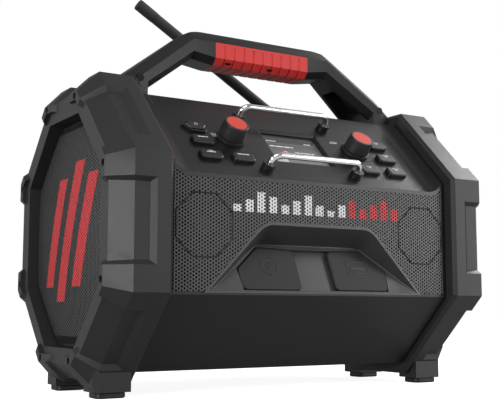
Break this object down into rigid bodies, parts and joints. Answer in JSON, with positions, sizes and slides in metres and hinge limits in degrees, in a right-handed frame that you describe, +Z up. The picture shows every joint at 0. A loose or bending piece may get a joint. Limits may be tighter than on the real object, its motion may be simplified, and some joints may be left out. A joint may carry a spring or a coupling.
{
  "type": "jobsite radio",
  "caption": "Rugged portable radio: an octagonal cabinet between rubber end bumpers, with a carrying handle, a sloping control panel and a folding antenna.",
  "frame": {"origin": "on the floor under the middle of the cabinet, the bottom centre of the bounding box", "axes": "+X to the radio's right as seen from its front, +Y to its back, +Z up; the front with its controls faces -Y"},
  "size_m": [0.439, 0.2696, 0.4244],
  "materials": {
    "bumper_rubber": "matt moulded rubber",
    "housing_plastic": "fine spark-eroded texture",
    "panel_plastic": "matt",
    "grille_metal": "powder-coated perforated sheet",
    "flap_rubber": "matt",
    "key_rubber": "matt",
    "grip_rubber": "soft-touch",
    "cap_red": "satin",
    "knob_plastic": "satin",
    "guard_chrome": "polished",
    "screw_steel": "plain",
    "bolt_steel": "black oxide",
    "lens_clear": "clear, smoked",
    "display_grey": "display",
    "board_green": "solder mask",
    "switch_black": "plain",
    "basket_steel": "black",
    "magnet_ferrite": "ferrite",
    "cone_paper": "coated paper with rubber surround",
    "socket_metal": "nickel-plated",
    "antenna_rubber": "matt sleeve",
    "baffle_plastic": "plain"
  },
  "bodies": {
    "cabinet": {"front_housing": "housing_plastic", "rear_housing": "housing_plastic", "left_baffle": "baffle_plastic", "right_baffle": "baffle_plastic", "left_bumper": "bumper_rubber", "right_bumper": "bumper_rubber", "foot_pads": "bumper_rubber", "left_side_grille": "grille_metal", "right_side_grille": "grille_metal", "front_grille": "grille_metal", "left_woofer_basket": "basket_steel", "right_woofer_basket": "basket_steel", "left_woofer_cone": "cone_paper", "right_woofer_cone": "cone_paper", "woofer_magnets": "magnet_ferrite", "driver_baskets": "basket_steel", "driver_cones": "cone_paper", "driver_magnets": "magnet_ferrite", "control_panel": "panel_plastic", "display_lens": "lens_clear", "display_module": "display_grey", "control_board": "board_green", "key_switches": "switch_black", "encoders": "socket_metal", "front_guard_bar": "guard_chrome", "rear_guard_bar": "guard_chrome", "guard_bushings": "key_rubber", "port_tray": "housing_plastic", "aux_jack": "socket_metal", "usb_socket": "socket_metal", "handle": "housing_plastic", "handle_grip": "grip_rubber", "handle_bolts": "bolt_steel", "antenna_base": "housing_plastic", "battery_box": "housing_plastic", "battery_hinge_pin": "bolt_steel", "mains_inlet": "switch_black", "main_board": "board_green", "power_supply": "basket_steel", "housing_screws": "bolt_steel", "bumper_screws": "bolt_steel"},
    "left_knob_body": {"left_knob": "knob_plastic", "left_knob_cap": "cap_red"},
    "right_knob_body": {"right_knob": "knob_plastic", "right_knob_cap": "cap_red"},
    "power_key_body": {"power_key": "key_rubber"},
    "source_key_body": {"source_key": "key_rubber"},
    "preset_key_body": {"preset_key": "key_rubber"},
    "clock_key_body": {"clock_key": "key_rubber"},
    "menu_key_body": {"menu_key": "key_rubber"},
    "info_key_body": {"info_key": "key_rubber"},
    "back_key_body": {"back_key": "key_rubber"},
    "memory_key_body": {"memory_key": "key_rubber"},
    "aux_flap_body": {"aux_flap": "flap_rubber"},
    "usb_flap_body": {"usb_flap": "flap_rubber"},
    "battery_door_body": {"battery_door": "housing_plastic"},
    "antenna_swivel": {"antenna_knuckle": "housing_plastic", "antenna_tilt_pin": "bolt_steel"},
    "antenna": {"antenna_mast": "antenna_rubber", "antenna_tip": "antenna_rubber"}
  },
  "joints": [
    {"name": "left_knob_turn", "type": "hinge", "parent": "cabinet", "child": "left_knob_body", "pos_m": [-0.0756, -0.08037, 0.24435], "axis": [0, -0.7071, 0.7071], "continuous": true},
    {"name": "right_knob_turn", "type": "hinge", "parent": "cabinet", "child": "right_knob_body", "pos_m": [0.0756, -0.08037, 0.24435], "axis": [0, -0.7071, 0.7071], "continuous": true},
    {"name": "power_key_press", "type": "slide", "parent": "cabinet", "child": "power_key_body", "axis": [0, 0.7071, -0.7071], "range_m": [0, 0.0008], "stiffness_N_per_m": 900, "springref_m": -0.0005},
    {"name": "source_key_press", "type": "slide", "parent": "cabinet", "child": "source_key_body", "axis": [0, 0.7071, -0.7071], "range_m": [0, 0.0008], "stiffness_N_per_m": 900, "springref_m": -0.0005},
    {"name": "preset_key_press", "type": "slide", "parent": "cabinet", "child": "preset_key_body", "axis": [0, 0.7071, -0.7071], "range_m": [0, 0.0008], "stiffness_N_per_m": 900, "springref_m": -0.0005},
    {"name": "clock_key_press", "type": "slide", "parent": "cabinet", "child": "clock_key_body", "axis": [0, 0.7071, -0.7071], "range_m": [0, 0.0008], "stiffness_N_per_m": 900, "springref_m": -0.0005},
    {"name": "menu_key_press", "type": "slide", "parent": "cabinet", "child": "menu_key_body", "axis": [0, 0.7071, -0.7071], "range_m": [0, 0.0008], "stiffness_N_per_m": 900, "springref_m": -0.0005},
    {"name": "info_key_press", "type": "slide", "parent": "cabinet", "child": "info_key_body", "axis": [0, 0.7071, -0.7071], "range_m": [0, 0.0008], "stiffness_N_per_m": 900, "springref_m": -0.0005},
    {"name": "back_key_press", "type": "slide", "parent": "cabinet", "child": "back_key_body", "axis": [0, 0.7071, -0.7071], "range_m": [0, 0.0008], "stiffness_N_per_m": 900, "springref_m": -0.0005},
    {"name": "memory_key_press", "type": "slide", "parent": "cabinet", "child": "memory_key_body", "axis": [0, 0.7071, -0.7071], "range_m": [0, 0.0008], "stiffness_N_per_m": 900, "springref_m": -0.0005},
    {"name": "aux_flap_open", "type": "hinge", "parent": "cabinet", "child": "aux_flap_body", "pos_m": [-0.052, -0.12188, 0.0978], "axis": [1, 0, 0], "range_deg": [0, 105]},
    {"name": "usb_flap_open", "type": "hinge", "parent": "cabinet", "child": "usb_flap_body", "pos_m": [0.052, -0.12188, 0.0978], "axis": [1, 0, 0], "range_deg": [0, 105]},
    {"name": "battery_door_open", "type": "hinge", "parent": "cabinet", "child": "battery_door_body", "pos_m": [0, 0.126, 0.0982], "axis": [-1, 0, 0], "range_deg": [0, 110]},
    {"name": "antenna_turn", "type": "hinge", "parent": "cabinet", "child": "antenna_swivel", "pos_m": [0.122, 0.08, 0.271], "axis": [0, 0, 1], "range_deg": [-180, 0]},
    {"name": "antenna_tilt", "type": "hinge", "parent": "antenna_swivel", "child": "antenna", "pos_m": [0.122, 0.08, 0.285], "axis": [0, 1, 0], "range_deg": [-30.8, 59.2]}
  ]
}
